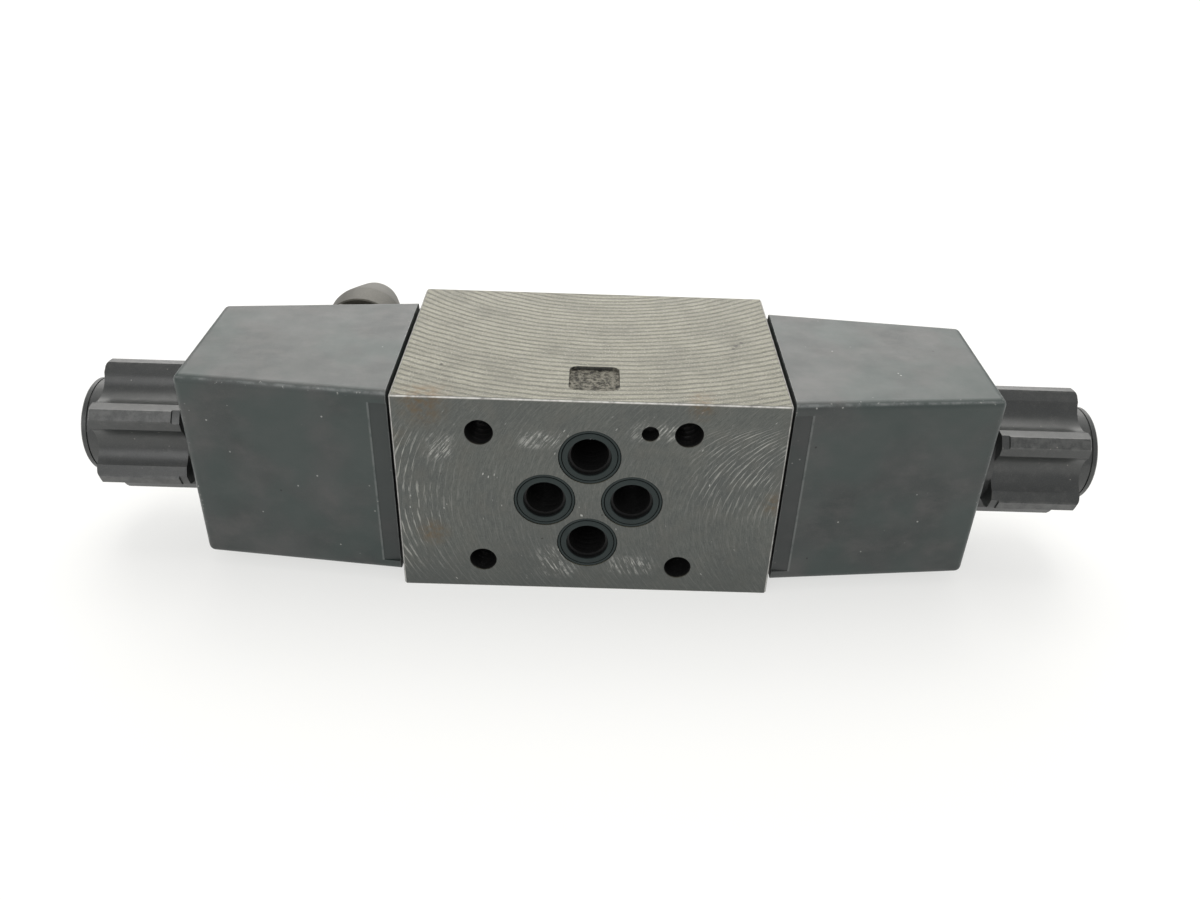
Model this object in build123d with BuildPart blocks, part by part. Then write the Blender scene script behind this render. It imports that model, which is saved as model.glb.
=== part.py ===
from build123d import *
import os
from math import cos, pi, radians, sin

# Solenoid directional valve, size 6, with two coils, a sliding spool and a wiring box.
#
# Millimetres.  The valve lies on its side.  X runs along the spool, coil A at -X and coil B
# at +X.  Z is up.  The mounting face is the plane Y = 0 and faces -Y.  The origin is the
# centre of the port pattern on that face.  Turned pieces are given as (distance from the
# valve's middle along X, radius) and made on the B side; the A side's are their mirror image.

# ---- Port pattern of the mounting face (ISO 4401-03), as (X, Z) ----
PORTS = {"p": (0.0, 10.4), "t": (0.0, -10.4), "a": (-8.8, 0.0), "b": (8.7, 0.0)}
BOLT_ROWS = ((-21.5, 31.0), (19.0, 32.5))
PIN_HOLE_X = 11.5
PIN_HOLE_Z = 16.25
PIN_HOLE_RADIUS = 1.7
PIN_HOLE_DEPTH = 4.0
PORT_RADIUS = 3.8
PORT_DEPTHS = {"p": 15.0, "t": 14.0, "a": 13.0, "b": 13.0}
SEAT_RADIUS = 6.2
SEAT_DEPTH = 1.3
BOLT_RADIUS = 2.8
BOLT_HEAD_RADIUS = 4.75
BOLT_HEAD_DEPTH = 9.6

# ---- Valve body ----
BODY_LENGTH = 76.6
BODY_DEPTH = 49.6
BODY_HEIGHT = 46.0
BODY_MIDDLE_Z = 0.15
BODY_EDGE = 0.4
POCKET_X = 0.45
POCKET_Y = 9.05
POCKET_WIDTH = 9.9
POCKET_LENGTH = 9.75
POCKET_DEPTH = 0.8
POCKET_CORNER = 1.6

# ---- Spool and the chambers round it ----
AXIS_Y = 21.8
AXIS_Z = 1.5
SPOOL_RADIUS = 7.47
SPOOL_BORE_RADIUS = 7.5
SPOOL_NECK_RADIUS = 4.2
CHAMBER_RADIUS = 10.5
CHAMBER_WIDTH = 4.4
TANK_CHAMBER_X = 16.2
TANK_CHAMBER_RADIUS = 11.0
GALLERY_Y = 13.0
GALLERY_Z = -11.8
GALLERY_RADIUS = 2.6
LINK_RADIUS = 1.8
LINK_TOP_Z = -6.0
CHAMBER_LAND = (5.65, 11.85)
END_LAND = (19.2, 23.5)
NOSE_RADIUS = 3.0
NOSE_END = 26.5

# ---- Tube: pole piece, ring, guide tube and end plug in one line ----
TUBE_RADIUS = 9.0
TUBE_BORE_RADIUS = 7.45
SOCKET_RADIUS = 11.0
SOCKET_BOTTOM = 27.0
POLE_THREAD_RADIUS = 10.95
POLE_FLANGE_END = 38.7
POLE_FACE = 54.0
SPRING_POCKET_RADIUS = 7.6
SPRING_POCKET_BOTTOM = 36.0
TUBE_SEAL_GROOVE = (35.1, 37.2)
POLE_RING_END = 58.0
GUIDE_TUBE_END = 80.2
PLUG_FACE = 78.0
PLUG_FLANGE_END = 81.0
PLUG_NECK_RADIUS = 7.0
PLUG_END = 99.0

# ---- Armature and push pin ----
ARMATURE_RADIUS = 7.4
ARMATURE_ENDS = (57.3, 74.5)
SHIM_FACE = 57.1
SHIM_RADIUS = 6.0
PUSH_PIN_RADIUS = 2.5
PUSH_PIN_SEAT = 63.3
FIT_GAP = 0.05

# ---- Manual override pin ----
OVERRIDE_RADIUS = 2.5
OVERRIDE_FOOT = (78.0, 79.5)
OVERRIDE_FOOT_RADIUS = 3.2
OVERRIDE_FOOT_CLEARANCE = 0.4
OVERRIDE_SEAL_GROOVE = (84.4, 85.6)
OVERRIDE_GROOVE_RADIUS = 1.45
OVERRIDE_HEAD = (100.0, 103.0)
OVERRIDE_HEAD_RADIUS = 3.5
OVERRIDE_SPRING_POCKET = 92.0
OVERRIDE_POCKET_RADIUS = 3.9

# ---- Springs ----
SEAT_WASHER_END = 24.7
SEAT_WASHER_RADIUS = 7.0
CENTRING_WIRE = 0.6
CENTRING_COIL_RADIUS = 5.6
CENTRING_TURNS = 5
OVERRIDE_WIRE = 0.25
OVERRIDE_COIL_RADIUS = 3.05
OVERRIDE_TURNS = 6
SPRING_END_GAP = 0.05

# ---- Coils ----
COIL_INNER = 39.05
COIL_OUTER = 80.93
COIL_INNER_HALF_DEPTH = 20.7
COIL_OUTER_HALF_DEPTH = 16.5
COIL_INNER_HALF_HEIGHT = 21.55
COIL_OUTER_HALF_HEIGHT = 21.4
COIL_EDGE = 1.5
COIL_BORE_RADIUS = 9.15
COIL_STRIP_WIDTH = 3.4
COIL_STRIP_DEPTH = 0.45
COIL_STRIP_MARGIN = 2.5
COIL_SEAL_RECESS_RADIUS = 11.2
COIL_SEAL_RECESS_DEPTH = 1.8
COIL_NECK_X = 57.0
COIL_NECK_LENGTH = 12.0
COIL_NECK_HEIGHT = 9.0
COIL_NECK_TOP = 47.0
BOBBIN_ENDS = (45.5, 74.5)
BOBBIN_FLANGE = 1.3
BOBBIN_FLANGE_RADIUS = 14.0
BOBBIN_SLEEVE_RADIUS = 10.2
WINDING_RADIUS = 13.8
YOKE_ENDS = (42.3, 77.7)
YOKE_HALF_HEIGHT = 18.0
YOKE_HALF_DEPTH = 11.0
YOKE_THICKNESS = 3.0
CAVITY_GAP = 0.1

# ---- Lock nuts ----
NUT_START = {"a": 83.4, "b": 84.3}
NUT_LOBES = 6
NUT_RADIUS = 14.5
NUT_FIRST_LOBE = -8.4
NUT_LOBE_HALF_FLAT = 1.1
NUT_FACET_RADIUS = 12.7
NUT_FACET_HALF_WIDTH = 2.7
NUT_FLUTE_RADIUS = 10.3
NUT_HUB_START = 81.2
NUT_HUB_RADIUS = 10.9
NUT_COLLAR_RADIUS = 14.2
NUT_COLLAR_LENGTH = 1.5
NUT_COLLAR_STEP = 0.25
NUT_LENGTH = 18.5
NUT_END_EDGE = 1.0
NUT_BORE_RADIUS = 7.05
CAP_RADIUS = 9.95
CAP_LENGTH = 3.55
CAP_RIM = 1.1
CAP_GROOVE = 0.3
CAP_OPENING_RADIUS = 4.2
CAP_EDGE = 0.3

# ---- Wiring box, standing on the body and over both coils ----
BOX_HALF_LENGTH = 68.0
BOX_HALF_HEIGHT = 10.8
BOX_TOP = 64.0
BOX_WALL = 2.2
BOX_LEG_START = 40.0
BOX_LEG_BOTTOM = 43.6
BOX_LID_START = -44.0
BOX_EDGE = 1.2
BOX_SCREW_X = 30.0
BOX_SCREW_RADIUS = 2.0
BOX_SCREW_DEPTH = 8.0
BOX_SCREW_HEAD_RADIUS = 3.5
BOX_SCREW_HEAD_HEIGHT = 2.8
GASKET_THICKNESS = 0.8
COVER_THICKNESS = 2.4
COVER_HALF_HEIGHT = 10.2
COVER_SCREW_RADIUS = 1.25
COVER_SCREW_HEAD_RADIUS = 2.4
COVER_SCREW_HEAD_HEIGHT = 1.4
COVER_SCREW_LENGTH = 7.0
COVER_SCREW_CLEARANCE = 1.0
COVER_SCREW_X = (-40.5, 63.5)
COVER_SCREW_Z = 6.6
COVER_POST_RADIUS = 2.6
PLATE_LENGTH = 44.0
PLATE_HEIGHT = 9.0
PLATE_THICKNESS = 0.5
TERMINAL_LENGTH = 42.0
TERMINAL_HEIGHT = 11.0
TERMINAL_DEPTH = 7.0
TERMINAL_POLES = 6
TERMINAL_PITCH = 6.6
TERMINAL_SCREW_RADIUS = 1.5
TERMINAL_SCREW_HEIGHT = 1.2
TERMINAL_SCREW_OVERHANG = 0.5
TERMINAL_WALL = 1.4
TERMINAL_WEB = 1.0
SCREW_SLOT_RATIO = 0.35

# ---- Cable gland ----
GLAND_X = -59.0
GLAND_HOLE_RADIUS = 7.45
GLAND_FLATS = 17.0
HEXAGON_SIDES = 6
GLAND_HEX_HEIGHT = 4.0
GLAND_BORE_RADIUS = 4.4
GLAND_SEAL_BOTTOM = 74.0
GLAND_SEAL_TOP = 81.5
GLAND_SEAL_RADIUS = 5.6
GLAND_SPIGOT_RADIUS = 7.4
GLAND_SPIGOT_END = 80.0
GLAND_NUT_GAP = 0.4
GLAND_NUT_BASE_RADIUS = 10.0
GLAND_NUT_GRIP_END = 76.0
GLAND_NUT_GRIPS = 12
GLAND_NUT_GRIP_INSET = 0.35
GLAND_NUT_GRIP_LENGTH = 6.0
GLAND_NUT_SHOULDER = (6.2, 87.2)
GLAND_NUT_CROWN = (5.9, 88.15)
GLAND_NUT_MOUTH = (5.0, 88.6)

# ---- Seal rings, as ring radius and section radius ----
TUBE_SEAL_RING = (10.0, 0.95)
OVERRIDE_SEAL_RING = (2.0, 0.5)
COIL_SEAL_RING = (10.1, 0.8)
COIL_SEAL_INSET = 0.9

MOUNTING_FACE = Plane.XZ


def depth_plane(y):
    """The plane parallel to the mounting face at a depth y; its normal points back to -Y."""
    return Plane.XZ.offset(-y)


def side_plane():
    """The plane through the spool's axis in which the turned outlines of the B side lie."""
    return Plane(origin=(0, AXIS_Y, AXIS_Z), x_dir=(1, 0, 0), z_dir=(0, 0, 1))


def cross_plane(x):
    """The plane across the spool's axis at x, centred on the axis; local x is Y, local y is Z."""
    return Plane(origin=(x, AXIS_Y, AXIS_Z), x_dir=(0, 1, 0), z_dir=(1, 0, 0))


SPOOL_AXIS = Axis((0, AXIS_Y, AXIS_Z), (1, 0, 0))


def save(piece, name):
    piece.part.label = name
    export_step(piece.part, f"parts/{name}.step")


def save_pair(piece, name):
    """Save a piece of the B side and its mirror image for the A side."""
    save(piece, f"{name}_b")
    with BuildPart() as opposite:
        mirror(piece.part, about=Plane.YZ)
    save(opposite, f"{name}_a")


def turned(outline):
    """A piece turned about the spool's axis from (distance along X, radius) points."""
    with BuildPart() as piece:
        with BuildSketch(side_plane()):
            with BuildLine():
                Polyline(*outline, close=True)
            make_face()
        revolve(axis=SPOOL_AXIS)
    return piece


def bush(start, end, inner, outer):
    """A plain ring about the spool's axis."""
    return turned([(start, inner), (end, inner), (end, outer), (start, outer)])


def seal_ring(distance, ring_radius, section_radius):
    """A round-section ring about the spool's axis."""
    with BuildPart() as ring:
        with BuildSketch(side_plane()):
            with Locations((distance, ring_radius)):
                Circle(section_radius)
        revolve(axis=SPOOL_AXIS)
    return ring


def coil_spring(direction, start, end, coil_radius, wire_radius, turns):
    """A round-wire spring along the spool's axis between two distances on one side."""
    margin = wire_radius + SPRING_END_GAP
    height = end - start - 2 * margin
    with BuildPart() as spring:
        with BuildLine() as path:
            Helix(
                pitch=height / turns,
                height=height,
                radius=coil_radius,
                center=(direction * (start + margin), AXIS_Y, AXIS_Z),
                direction=(direction, 0, 0),
            )
        with BuildSketch(Plane(origin=path.line @ 0, z_dir=path.line % 0)):
            Circle(wire_radius)
        sweep(path=path.line, is_frenet=True)
    return spring


# ---- Valve body ----

def valve_body():
    socket_length = BODY_LENGTH / 2 - SOCKET_BOTTOM
    bolt_places = [(x, sign * spacing / 2) for x, spacing in BOLT_ROWS for sign in (-1, 1)]
    with BuildPart() as body:
        with BuildSketch(MOUNTING_FACE):
            with Locations((0, BODY_MIDDLE_Z)):
                Rectangle(BODY_LENGTH, BODY_HEIGHT)
        extrude(amount=-BODY_DEPTH)
        chamfer(body.edges(), BODY_EDGE)

        # Ports, each with the seat of its seal ring.
        for name, place in PORTS.items():
            with BuildSketch(MOUNTING_FACE):
                with Locations(place):
                    Circle(PORT_RADIUS)
            extrude(amount=-PORT_DEPTHS[name], mode=Mode.SUBTRACT)
        with BuildSketch(MOUNTING_FACE):
            with Locations(*PORTS.values()):
                Circle(SEAT_RADIUS)
        extrude(amount=-SEAT_DEPTH, mode=Mode.SUBTRACT)

        # Bolt holes right through, with room for the screw heads at the back.
        with BuildSketch(MOUNTING_FACE):
            with Locations(*bolt_places):
                Circle(BOLT_RADIUS)
        extrude(amount=-BODY_DEPTH, mode=Mode.SUBTRACT)
        with BuildSketch(depth_plane(BODY_DEPTH)):
            with Locations(*bolt_places):
                Circle(BOLT_HEAD_RADIUS)
        extrude(amount=BOLT_HEAD_DEPTH, mode=Mode.SUBTRACT)

        # Locating pin hole, and the threaded holes that hold the wiring box.
        with BuildSketch(MOUNTING_FACE):
            with Locations((PIN_HOLE_X, PIN_HOLE_Z)):
                Circle(PIN_HOLE_RADIUS)
        extrude(amount=-PIN_HOLE_DEPTH, mode=Mode.SUBTRACT)
        with BuildSketch(depth_plane(BODY_DEPTH)):
            with Locations((-BOX_SCREW_X, 0), (BOX_SCREW_X, 0)):
                Circle(BOX_SCREW_RADIUS)
        extrude(amount=BOX_SCREW_DEPTH, mode=Mode.SUBTRACT)

        # Spool bore, the chambers round it and the sockets for the tubes.
        with BuildSketch(cross_plane(-BODY_LENGTH / 2)):
            Circle(SPOOL_BORE_RADIUS)
        extrude(amount=BODY_LENGTH, mode=Mode.SUBTRACT)
        port_chambers = [PORTS["p"][0], PORTS["a"][0], PORTS["b"][0]]
        for x in port_chambers:
            with BuildSketch(cross_plane(x)):
                Circle(CHAMBER_RADIUS)
            extrude(amount=CHAMBER_WIDTH / 2, both=True, mode=Mode.SUBTRACT)
        for x in (-TANK_CHAMBER_X, TANK_CHAMBER_X):
            with BuildSketch(cross_plane(x)):
                Circle(TANK_CHAMBER_RADIUS)
            extrude(amount=CHAMBER_WIDTH / 2, both=True, mode=Mode.SUBTRACT)
        for x in (-BODY_LENGTH / 2, SOCKET_BOTTOM):
            with BuildSketch(cross_plane(x)):
                Circle(SOCKET_RADIUS)
            extrude(amount=socket_length, mode=Mode.SUBTRACT)

        # Tank gallery: one passage along X below the spool, with a link up to each chamber.
        with BuildSketch(Plane.YZ):
            with Locations((GALLERY_Y, GALLERY_Z)):
                Circle(GALLERY_RADIUS)
        extrude(amount=TANK_CHAMBER_X, both=True, mode=Mode.SUBTRACT)
        with BuildSketch(Plane.XY.offset(GALLERY_Z)):
            with Locations((-TANK_CHAMBER_X, GALLERY_Y), (TANK_CHAMBER_X, GALLERY_Y)):
                Circle(LINK_RADIUS)
        extrude(amount=LINK_TOP_Z - GALLERY_Z, mode=Mode.SUBTRACT)

        # Cast pocket in the upper side face.
        with BuildSketch(Plane.XY.offset(BODY_MIDDLE_Z + BODY_HEIGHT / 2)):
            with Locations((POCKET_X, POCKET_Y)):
                RectangleRounded(POCKET_WIDTH, POCKET_LENGTH, POCKET_CORNER)
        extrude(amount=-POCKET_DEPTH, mode=Mode.SUBTRACT)
    return body


def port_seal(place):
    """The ring in a port's seat, flattened by use and standing just below the face."""
    outer = 6.12
    inner = 4.25
    height = 1.24
    corner = 0.45
    centre_x, centre_z = place
    ring_plane = Plane(origin=(centre_x, 0, centre_z), x_dir=(1, 0, 0), z_dir=(0, 0, 1))
    with BuildPart() as seal:
        with BuildSketch(ring_plane):
            with Locations(((outer + inner) / 2, SEAT_DEPTH - height / 2)):
                RectangleRounded(outer - inner, height, corner)
        revolve(axis=Axis((centre_x, 0, centre_z), (0, 1, 0)))
    return seal


# ---- Spool ----

def spool():
    land_start, land_end = CHAMBER_LAND
    end_land_start, end_land_end = END_LAND
    half = [
        (0, 0),
        (0, SPOOL_NECK_RADIUS),
        (land_start, SPOOL_NECK_RADIUS),
        (land_start, SPOOL_RADIUS),
        (land_end, SPOOL_RADIUS),
        (land_end, SPOOL_NECK_RADIUS),
        (end_land_start, SPOOL_NECK_RADIUS),
        (end_land_start, SPOOL_RADIUS),
        (end_land_end, SPOOL_RADIUS),
        (end_land_end, NOSE_RADIUS),
        (NOSE_END, NOSE_RADIUS),
        (NOSE_END, 0),
    ]
    with BuildPart() as piece:
        with BuildSketch(side_plane()):
            with BuildLine():
                Polyline(*half, close=True)
            make_face()
            mirror(about=Plane.YZ)
        revolve(axis=SPOOL_AXIS)
    return piece


# ---- Tube pieces ----

def pole_piece():
    groove_start, groove_end = TUBE_SEAL_GROOVE
    pin_bore = PUSH_PIN_RADIUS + FIT_GAP
    return turned([
        (SOCKET_BOTTOM + FIT_GAP, SPRING_POCKET_RADIUS),
        (SOCKET_BOTTOM + FIT_GAP, POLE_THREAD_RADIUS),
        (groove_start, POLE_THREAD_RADIUS),
        (groove_start, TUBE_RADIUS),
        (groove_end, TUBE_RADIUS),
        (groove_end, POLE_THREAD_RADIUS),
        (POLE_FLANGE_END, POLE_THREAD_RADIUS),
        (POLE_FLANGE_END, TUBE_RADIUS),
        (POLE_FACE, TUBE_RADIUS),
        (POLE_FACE, pin_bore),
        (SPRING_POCKET_BOTTOM, pin_bore),
        (SPRING_POCKET_BOTTOM, SPRING_POCKET_RADIUS),
    ])


def end_plug():
    foot_recess_end = OVERRIDE_FOOT[1] + FIT_GAP
    pin_bore = OVERRIDE_RADIUS + FIT_GAP
    foot_recess_radius = OVERRIDE_FOOT_RADIUS + OVERRIDE_FOOT_CLEARANCE
    return turned([
        (PLUG_FACE, foot_recess_radius),
        (PLUG_FACE, TUBE_BORE_RADIUS),
        (GUIDE_TUBE_END, TUBE_BORE_RADIUS),
        (GUIDE_TUBE_END, TUBE_RADIUS),
        (PLUG_FLANGE_END, TUBE_RADIUS),
        (PLUG_FLANGE_END, PLUG_NECK_RADIUS),
        (PLUG_END, PLUG_NECK_RADIUS),
        (PLUG_END, OVERRIDE_POCKET_RADIUS),
        (OVERRIDE_SPRING_POCKET, OVERRIDE_POCKET_RADIUS),
        (OVERRIDE_SPRING_POCKET, pin_bore),
        (foot_recess_end, pin_bore),
        (foot_recess_end, foot_recess_radius),
    ])


def armature():
    """The moving iron: a cylinder with a blind hole for the push pin and two oil grooves."""
    start, end = ARMATURE_ENDS
    groove_width = 2.4
    groove_depth = 1.2
    with BuildPart() as piece:
        with BuildSketch(side_plane()):
            with BuildLine():
                Polyline(
                    (start, PUSH_PIN_RADIUS),
                    (start, ARMATURE_RADIUS),
                    (end, ARMATURE_RADIUS),
                    (end, 0),
                    (PUSH_PIN_SEAT, 0),
                    (PUSH_PIN_SEAT, PUSH_PIN_RADIUS),
                    close=True,
                )
            make_face()
        revolve(axis=SPOOL_AXIS)
        with BuildSketch(cross_plane(start)):
            with PolarLocations(ARMATURE_RADIUS, 2, start_angle=90):
                Rectangle(2 * groove_depth, groove_width)
        extrude(amount=end - start, mode=Mode.SUBTRACT)
    return piece


def override_pin():
    foot_start, foot_end = OVERRIDE_FOOT
    groove_start, groove_end = OVERRIDE_SEAL_GROOVE
    head_start, head_end = OVERRIDE_HEAD
    return turned([
        (foot_start, 0),
        (foot_start, OVERRIDE_FOOT_RADIUS),
        (foot_end, OVERRIDE_FOOT_RADIUS),
        (foot_end, OVERRIDE_RADIUS),
        (groove_start, OVERRIDE_RADIUS),
        (groove_start, OVERRIDE_GROOVE_RADIUS),
        (groove_end, OVERRIDE_GROOVE_RADIUS),
        (groove_end, OVERRIDE_RADIUS),
        (head_start, OVERRIDE_RADIUS),
        (head_start, OVERRIDE_HEAD_RADIUS),
        (head_end, OVERRIDE_HEAD_RADIUS),
        (head_end, 0),
    ])


# ---- Coil pieces ----

def coil_housing():
    strip_height = 2 * (COIL_INNER_HALF_HEIGHT - COIL_STRIP_MARGIN)
    cavity_start = YOKE_ENDS[0] - CAVITY_GAP
    cavity_length = YOKE_ENDS[1] - YOKE_ENDS[0] + 2 * CAVITY_GAP
    with BuildPart() as coil:
        # Outer shape: a block that narrows away from the body, rounded on every long edge.
        with BuildSketch(cross_plane(COIL_INNER)):
            Rectangle(2 * COIL_INNER_HALF_DEPTH, 2 * COIL_INNER_HALF_HEIGHT)
        with BuildSketch(cross_plane(COIL_OUTER)):
            Rectangle(2 * COIL_OUTER_HALF_DEPTH, 2 * COIL_OUTER_HALF_HEIGHT)
        loft(ruled=True)
        inner_face = coil.faces().sort_by(Axis.X)[0]
        fillet(coil.edges() - inner_face.edges(), COIL_EDGE)

        # Shallow strip in the front face beside the body.
        with BuildSketch(cross_plane(COIL_INNER)):
            with Locations((-COIL_INNER_HALF_DEPTH, 0)):
                Rectangle(2 * COIL_STRIP_DEPTH, strip_height)
        extrude(amount=COIL_STRIP_WIDTH, mode=Mode.SUBTRACT)

        # Neck that carries the coil's leads into the wiring box.
        with BuildSketch(depth_plane(AXIS_Y)):
            with Locations((COIL_NECK_X, AXIS_Z)):
                RectangleRounded(COIL_NECK_LENGTH, COIL_NECK_HEIGHT, COIL_EDGE)
        extrude(amount=AXIS_Y - COIL_NECK_TOP)

        # Space for the yoke, bobbin and winding that the resin holds.
        with BuildSketch(cross_plane(cavity_start)):
            Rectangle(2 * (YOKE_HALF_DEPTH + CAVITY_GAP), 2 * (YOKE_HALF_HEIGHT + CAVITY_GAP))
        extrude(amount=cavity_length, mode=Mode.SUBTRACT)
        with BuildSketch(cross_plane(BOBBIN_ENDS[0] - CAVITY_GAP)):
            Circle(BOBBIN_FLANGE_RADIUS + CAVITY_GAP)
        extrude(amount=BOBBIN_ENDS[1] - BOBBIN_ENDS[0] + 2 * CAVITY_GAP, mode=Mode.SUBTRACT)

        # Bore for the tube, with a seal recess at each end.
        with BuildSketch(cross_plane(COIL_INNER)):
            Circle(COIL_BORE_RADIUS)
        extrude(amount=COIL_OUTER - COIL_INNER, mode=Mode.SUBTRACT)
        for start in (COIL_INNER, COIL_OUTER - COIL_SEAL_RECESS_DEPTH):
            with BuildSketch(cross_plane(start)):
                Circle(COIL_SEAL_RECESS_RADIUS)
            extrude(amount=COIL_SEAL_RECESS_DEPTH, mode=Mode.SUBTRACT)
    return coil


def coil_bobbin():
    start, end = BOBBIN_ENDS
    return turned([
        (start, COIL_BORE_RADIUS),
        (end, COIL_BORE_RADIUS),
        (end, BOBBIN_FLANGE_RADIUS),
        (end - BOBBIN_FLANGE, BOBBIN_FLANGE_RADIUS),
        (end - BOBBIN_FLANGE, BOBBIN_SLEEVE_RADIUS),
        (start + BOBBIN_FLANGE, BOBBIN_SLEEVE_RADIUS),
        (start + BOBBIN_FLANGE, BOBBIN_FLANGE_RADIUS),
        (start, BOBBIN_FLANGE_RADIUS),
    ])


def coil_yoke():
    """A steel frame bent round the winding, with the tube passing through both ends."""
    start, end = YOKE_ENDS
    with BuildPart() as yoke:
        with BuildSketch(cross_plane(start)):
            Rectangle(2 * YOKE_HALF_DEPTH, 2 * YOKE_HALF_HEIGHT)
        extrude(amount=end - start)
        with BuildSketch(cross_plane(start + YOKE_THICKNESS)):
            Rectangle(2 * YOKE_HALF_DEPTH, 2 * (YOKE_HALF_HEIGHT - YOKE_THICKNESS))
        extrude(amount=end - start - 2 * YOKE_THICKNESS, mode=Mode.SUBTRACT)
        with BuildSketch(cross_plane(start)):
            Circle(COIL_BORE_RADIUS)
        extrude(amount=end - start, mode=Mode.SUBTRACT)
    return yoke


# ---- Lock nuts ----

def turn_point(radius, across, angle):
    """A point at a radius along the direction angle (from +Z towards -Y), and beside it."""
    y = -radius * sin(angle) - across * cos(angle)
    z = radius * cos(angle) - across * sin(angle)
    return (y, z)


def lobed_line():
    """The nut's outline: each lobe has a flat, two facets and a round flute after it."""
    step = 2 * pi / NUT_LOBES
    for number in range(NUT_LOBES):
        angle = radians(NUT_FIRST_LOBE) + number * step
        facet_start = turn_point(NUT_FACET_RADIUS, -NUT_FACET_HALF_WIDTH, angle)
        flat_start = turn_point(NUT_RADIUS, -NUT_LOBE_HALF_FLAT, angle)
        flat_end = turn_point(NUT_RADIUS, NUT_LOBE_HALF_FLAT, angle)
        facet_end = turn_point(NUT_FACET_RADIUS, NUT_FACET_HALF_WIDTH, angle)
        flute_bottom = turn_point(NUT_FLUTE_RADIUS, 0, angle + step / 2)
        next_facet = turn_point(NUT_FACET_RADIUS, -NUT_FACET_HALF_WIDTH, angle + step)
        Line(facet_start, flat_start)
        Line(flat_start, flat_end)
        Line(flat_end, facet_end)
        ThreePointArc(facet_end, flute_bottom, next_facet)


def lock_nut(direction, start):
    """The hand nut that holds a coil: lobes cut to a turned outline, on a round hub."""
    end = start + NUT_LENGTH
    edge_start = end - NUT_END_EDGE
    collar_end = start + NUT_COLLAR_LENGTH
    outer = NUT_RADIUS + NUT_COLLAR_STEP
    plane = Plane(origin=(0, AXIS_Y, AXIS_Z), x_dir=(direction, 0, 0), z_dir=(0, 0, 1))
    axis = Axis((0, AXIS_Y, AXIS_Z), (direction, 0, 0))
    with BuildPart() as nut:
        with BuildSketch(cross_plane(direction * start)):
            with BuildLine():
                lobed_line()
            make_face()
        extrude(amount=direction * NUT_LENGTH)
        with BuildSketch(plane):
            with BuildLine():
                Polyline(
                    (start, 0),
                    (start, NUT_COLLAR_RADIUS),
                    (collar_end, NUT_COLLAR_RADIUS),
                    (collar_end + NUT_COLLAR_STEP, outer),
                    (edge_start, outer),
                )
                RadiusArc((edge_start, outer), (end, outer - NUT_END_EDGE), NUT_END_EDGE)
                Polyline((end, outer - NUT_END_EDGE), (end, 0), (start, 0))
            make_face()
        revolve(axis=axis, mode=Mode.INTERSECT)
        with BuildSketch(cross_plane(direction * NUT_HUB_START)):
            Circle(NUT_HUB_RADIUS)
        extrude(amount=direction * (start - NUT_HUB_START))
        with BuildSketch(cross_plane(direction * NUT_HUB_START)):
            Circle(NUT_BORE_RADIUS)
        extrude(amount=direction * (end - NUT_HUB_START), mode=Mode.SUBTRACT)
    return nut


def nut_cap(direction, start):
    """The ring pressed on the nut's end: a grooved rim, and an opening over the override pin."""
    foot = start + NUT_LENGTH
    end = foot + CAP_LENGTH
    rim_start = end - CAP_RIM
    groove_start = rim_start - CAP_GROOVE
    plane = Plane(origin=(0, AXIS_Y, AXIS_Z), x_dir=(direction, 0, 0), z_dir=(0, 0, 1))
    with BuildPart() as cap:
        with BuildSketch(plane):
            with BuildLine():
                Polyline(
                    (foot, CAP_OPENING_RADIUS),
                    (foot, CAP_RADIUS),
                    (groove_start, CAP_RADIUS),
                    (groove_start, CAP_RADIUS - CAP_GROOVE),
                    (rim_start, CAP_RADIUS - CAP_GROOVE),
                    (rim_start, CAP_RADIUS),
                    (end - CAP_EDGE, CAP_RADIUS),
                    (end, CAP_RADIUS - CAP_EDGE),
                    (end, CAP_OPENING_RADIUS),
                    close=True,
                )
            make_face()
        revolve(axis=Axis((0, AXIS_Y, AXIS_Z), (direction, 0, 0)))
    return cap


# ---- Wiring box ----

COVER_SCREW_PLACES = [(x, sign * COVER_SCREW_Z) for x in COVER_SCREW_X for sign in (-1, 1)]
COVER_BACK = BOX_TOP + GASKET_THICKNESS + COVER_THICKNESS


def lid_outline(half_height):
    """The cover's outline on the box, from its left edge to the box's right end."""
    length = BOX_HALF_LENGTH - BOX_EDGE - BOX_LID_START
    with Locations((BOX_LID_START + length / 2, 0)):
        Rectangle(length, 2 * half_height)


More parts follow.
